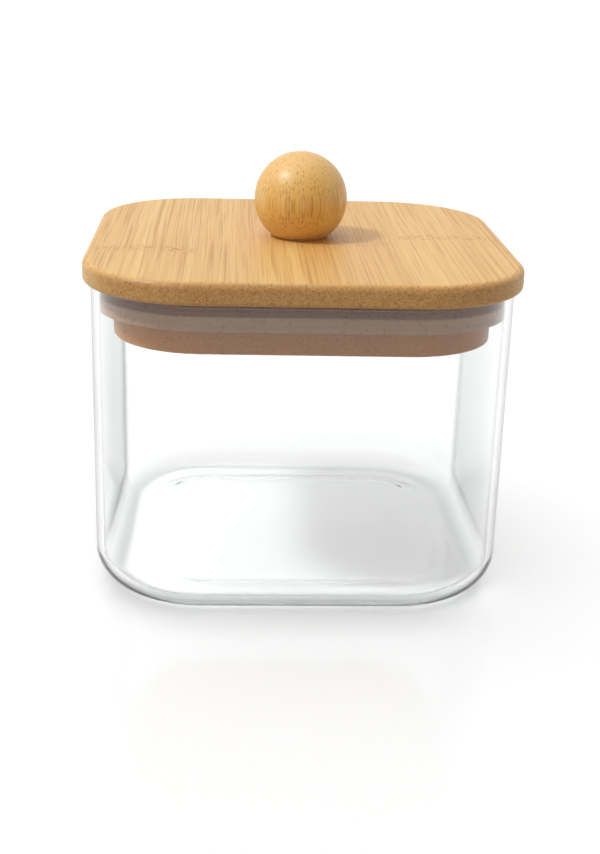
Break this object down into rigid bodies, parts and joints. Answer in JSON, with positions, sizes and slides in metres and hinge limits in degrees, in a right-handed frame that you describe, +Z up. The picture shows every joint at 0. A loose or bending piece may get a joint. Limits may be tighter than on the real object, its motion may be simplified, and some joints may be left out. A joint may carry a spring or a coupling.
{
  "type": "spice jar",
  "caption": "Square glass storage jar with rounded corners and a lift-off bamboo lid: plug with silicone seal and a ball knob.",
  "frame": {"origin": "middle of the base, on the surface that the jar stands on", "axes": "+Z up through the knob, -Y towards the front, X and Y along the flat sides"},
  "size_m": [0.112, 0.112, 0.1111],
  "materials": {
    "jar_glass": "clear, fire polished",
    "bamboo_board": "sanded, oiled, satin",
    "bamboo_plug": "sanded, oiled, satin",
    "silicone_seal": "translucent, smooth",
    "bamboo_ball": "turned, sanded, satin",
    "zinc_steel": "zinc plated"
  },
  "bodies": {
    "jar": {"glass_jar": "jar_glass"},
    "lid": {"lid_board": "bamboo_board", "lid_plug": "bamboo_plug", "seal_ring": "silicone_seal", "ball_knob": "bamboo_ball", "knob_screw": "zinc_steel"}
  },
  "joints": [
    {"name": "lid_lift", "type": "slide", "parent": "jar", "child": "lid", "axis": [0, 0, 1], "range_m": [0, 0.04]}
  ]
}
